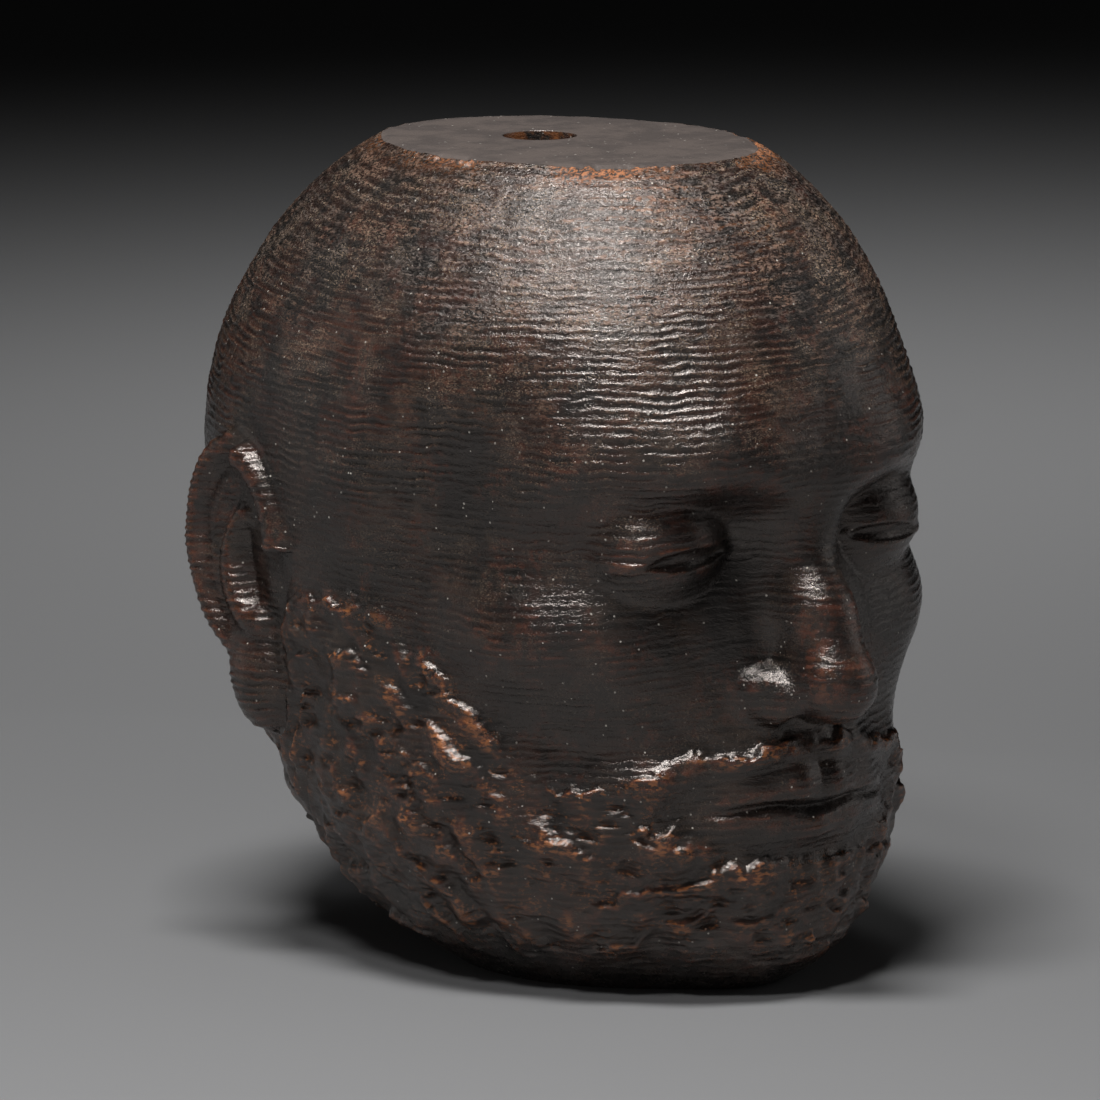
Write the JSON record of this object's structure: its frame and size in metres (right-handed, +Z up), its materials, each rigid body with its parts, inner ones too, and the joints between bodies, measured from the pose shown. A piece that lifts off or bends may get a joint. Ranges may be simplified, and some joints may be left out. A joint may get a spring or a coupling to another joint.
{
  "type": "bead",
  "caption": "Wood bead carved as a bald, bearded head, cut flat at crown and foot and drilled through lengthwise for a cord.",
  "frame": {"origin": "middle of the bead's outer box, on the plane of the flat foot it stands on", "axes": "+Z up from the foot to the crown, square to both flats; the face looks along -Y; +X is the bead's own left"},
  "size_m": [0.019, 0.0254, 0.024],
  "materials": {
    "dark_wood": "old hand-rubbed patina, satin, rust-brown where it is worn and in the cuts"
  },
  "bodies": {
    "root": {"carved_head": "dark_wood"}
  },
  "joints": []
}
